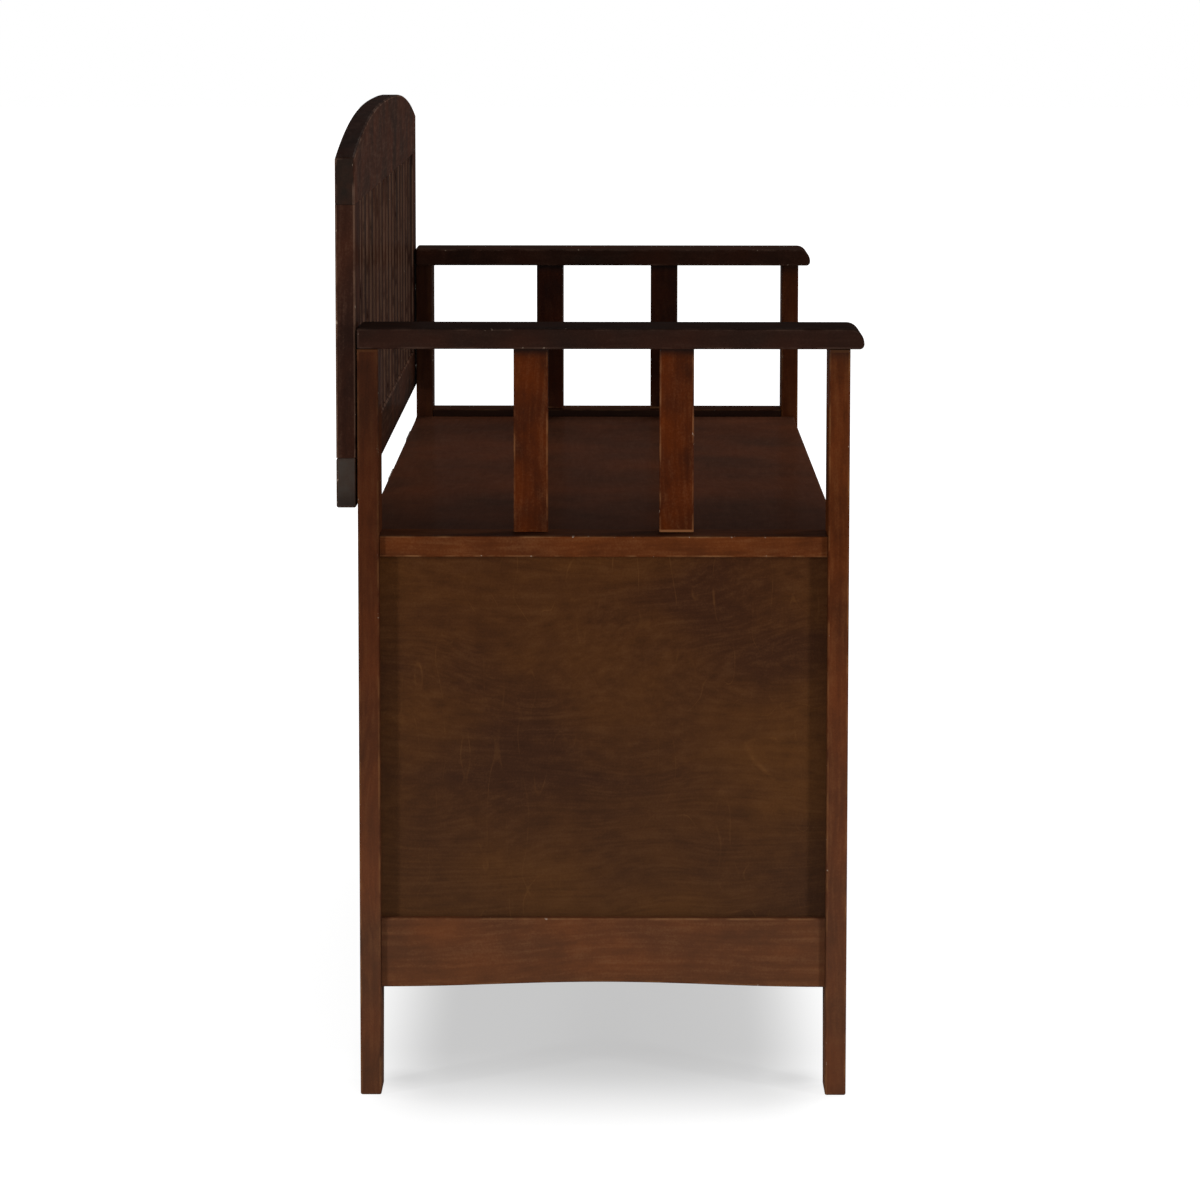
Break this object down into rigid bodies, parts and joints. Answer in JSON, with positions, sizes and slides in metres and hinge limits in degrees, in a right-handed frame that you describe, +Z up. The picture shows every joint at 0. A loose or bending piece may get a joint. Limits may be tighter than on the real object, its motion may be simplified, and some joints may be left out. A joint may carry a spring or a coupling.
{
  "type": "deacons bench",
  "caption": "Wooden storage bench with flat slatted arms, a slatted backrest under an arched crest rail and a hinged seat lid over a panelled box.",
  "frame": {"origin": "on the floor under the middle of the bench's outer size", "axes": "+X along the seat, to the right as seen from the front, -Y towards the front of the seat, +Z up"},
  "size_m": [1.27, 0.435, 0.814],
  "materials": {
    "stained_wood": "walnut-brown stain under a satin clear coat",
    "dark_wood": "dark brown stain under a satin clear coat",
    "panel_wood": "veneered board with a walnut-brown stain",
    "steel": "plain steel hinges and bolts"
  },
  "bodies": {
    "bench": {"front_left_leg": "stained_wood", "front_right_leg": "stained_wood", "rear_left_leg": "stained_wood", "rear_right_leg": "stained_wood", "left_arm": "dark_wood", "right_arm": "dark_wood", "left_arm_front_slat": "stained_wood", "left_arm_rear_slat": "stained_wood", "right_arm_front_slat": "stained_wood", "right_arm_rear_slat": "stained_wood", "left_seat_rail": "stained_wood", "right_seat_rail": "stained_wood", "left_lower_rail": "stained_wood", "right_lower_rail": "stained_wood", "left_panel": "panel_wood", "right_panel": "panel_wood", "front_top_rail": "stained_wood", "front_lower_rail": "stained_wood", "front_centre_stile": "stained_wood", "front_left_panel": "panel_wood", "front_right_panel": "panel_wood", "rear_top_rail": "stained_wood", "rear_lower_rail": "stained_wood", "rear_panel": "panel_wood", "floor_board": "panel_wood", "left_seat_strip": "stained_wood", "right_seat_strip": "stained_wood", "left_hinge_frame_leaf": "steel", "middle_hinge_frame_leaf": "steel", "right_hinge_frame_leaf": "steel", "crest_rail": "dark_wood", "back_bottom_rail": "dark_wood", "back_left_stile": "stained_wood", "back_right_stile": "stained_wood", "back_slat_1": "stained_wood", "back_slat_2": "stained_wood", "back_slat_3": "stained_wood", "back_slat_4": "stained_wood", "back_slat_5": "stained_wood", "back_slat_6": "stained_wood", "back_slat_7": "stained_wood", "back_slat_8": "stained_wood", "back_slat_9": "stained_wood", "back_slat_10": "stained_wood", "back_slat_11": "stained_wood", "back_slat_12": "stained_wood", "back_slat_13": "stained_wood", "back_slat_14": "stained_wood", "back_slat_15": "stained_wood", "back_slat_16": "stained_wood", "back_slat_17": "stained_wood", "back_bolt_left_lower": "steel", "back_bolt_left_upper": "steel", "back_bolt_right_lower": "steel", "back_bolt_right_upper": "steel"},
    "lid": {"lid": "stained_wood", "left_hinge_lid_leaf": "steel", "middle_hinge_lid_leaf": "steel", "right_hinge_lid_leaf": "steel"}
  },
  "joints": [
    {"name": "lid_hinge", "type": "hinge", "parent": "bench", "child": "lid", "pos_m": [0, 0.2029, 0.44495], "axis": [-1, 0, 0], "range_deg": [0, 65]}
  ]
}
